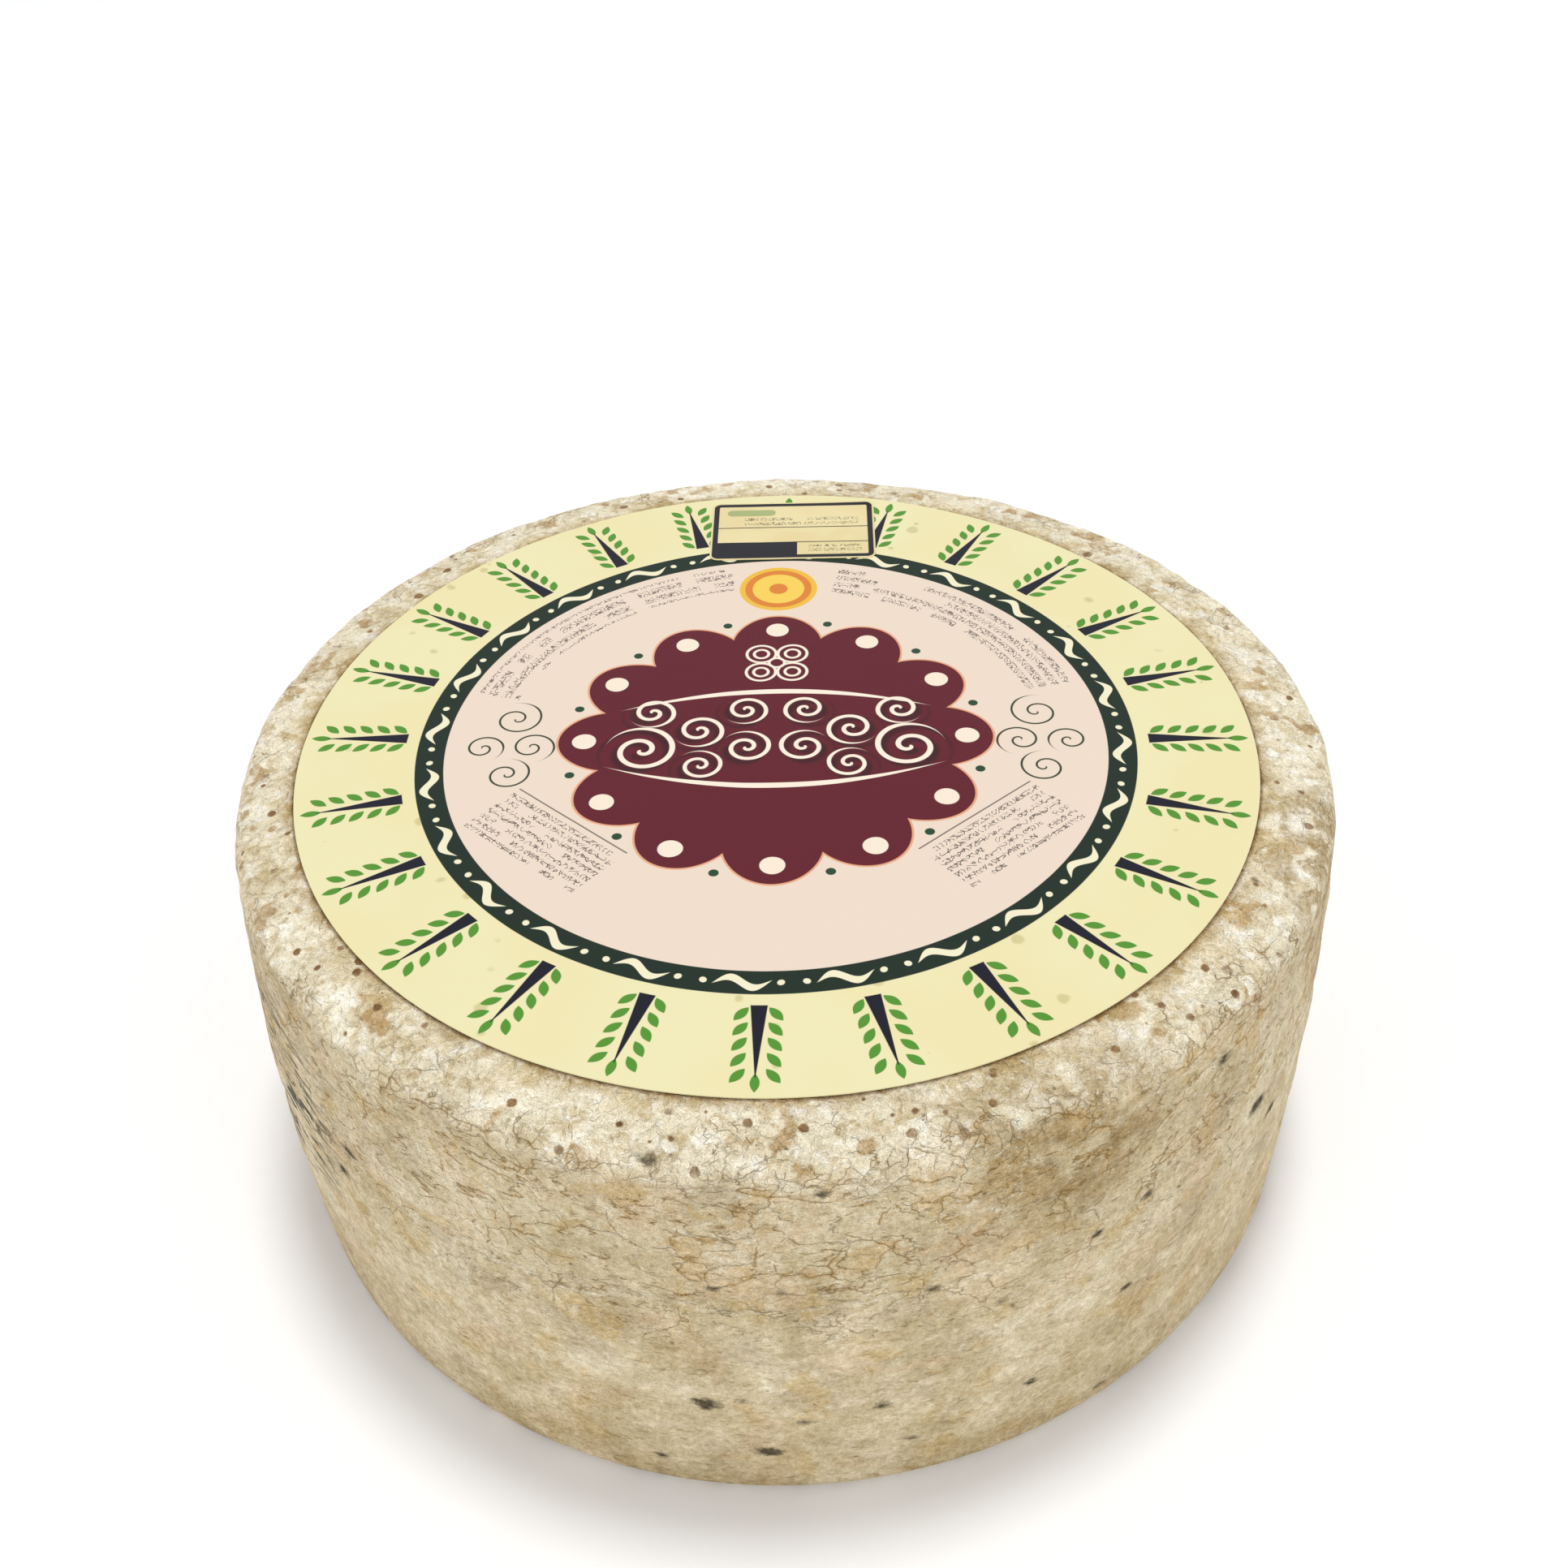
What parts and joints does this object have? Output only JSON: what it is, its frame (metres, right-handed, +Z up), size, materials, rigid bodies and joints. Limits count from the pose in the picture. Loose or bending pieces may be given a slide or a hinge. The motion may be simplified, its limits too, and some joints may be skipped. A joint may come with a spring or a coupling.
{
  "type": "cheese wheel",
  "caption": "Whole wheel of hard ewe's milk cheese: a squat drum with a dry natural rind, a round paper label on the top face and a small sticker at the label's rim.",
  "frame": {"origin": "middle of the underside, where the wheel rests", "axes": "+Z up along the wheel's axis; the sticker on the label is towards +Y, and the side seen in front is -Y"},
  "size_m": [0.216, 0.216, 0.0905],
  "materials": {
    "rind": "matte",
    "label_paper": "matte",
    "sticker_paper": "satin"
  },
  "bodies": {
    "root": {"cheese_wheel": "rind", "paper_label": "label_paper", "grade_sticker": "sticker_paper"}
  },
  "joints": []
}
